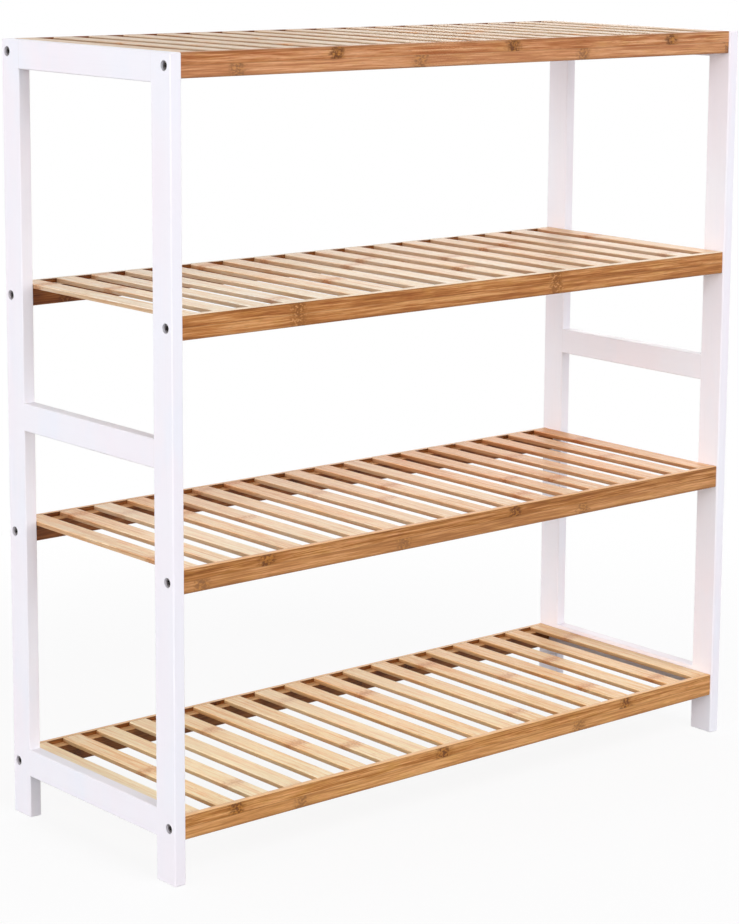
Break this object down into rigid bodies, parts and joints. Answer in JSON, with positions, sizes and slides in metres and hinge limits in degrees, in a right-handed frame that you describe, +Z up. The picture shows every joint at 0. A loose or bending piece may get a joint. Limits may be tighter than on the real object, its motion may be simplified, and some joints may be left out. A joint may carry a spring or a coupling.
{
  "type": "tiered shoe rack",
  "caption": "Free-standing shoe rack: painted side frames of posts and rails carry tiers of lengthwise rails with cross slats set flush in their rabbets.",
  "frame": {"origin": "on the floor, midway between the four feet", "axes": "+X along the shelves to the right as seen from the front, +Y to the back, +Z up"},
  "size_m": [0.7, 0.26, 0.73],
  "materials": {
    "painted_frame": "satin white paint",
    "bamboo_rail": "carbonised bamboo, satin lacquer",
    "bamboo_slat": "natural bamboo, satin lacquer",
    "screw_steel": "zinc plated"
  },
  "bodies": {
    "root": {"left_front_post": "painted_frame", "left_back_post": "painted_frame", "left_top_rail": "painted_frame", "left_middle_rail": "painted_frame", "left_bottom_rail": "painted_frame", "right_front_post": "painted_frame", "right_back_post": "painted_frame", "right_top_rail": "painted_frame", "right_middle_rail": "painted_frame", "right_bottom_rail": "painted_frame", "tier1_front_rail": "bamboo_rail", "tier1_back_rail": "bamboo_rail", "tier1_slats": "bamboo_slat", "tier2_front_rail": "bamboo_rail", "tier2_back_rail": "bamboo_rail", "tier2_slats": "bamboo_slat", "tier3_front_rail": "bamboo_rail", "tier3_back_rail": "bamboo_rail", "tier3_slats": "bamboo_slat", "tier4_front_rail": "bamboo_rail", "tier4_back_rail": "bamboo_rail", "tier4_slats": "bamboo_slat", "shelf_screws": "screw_steel"}
  },
  "joints": []
}
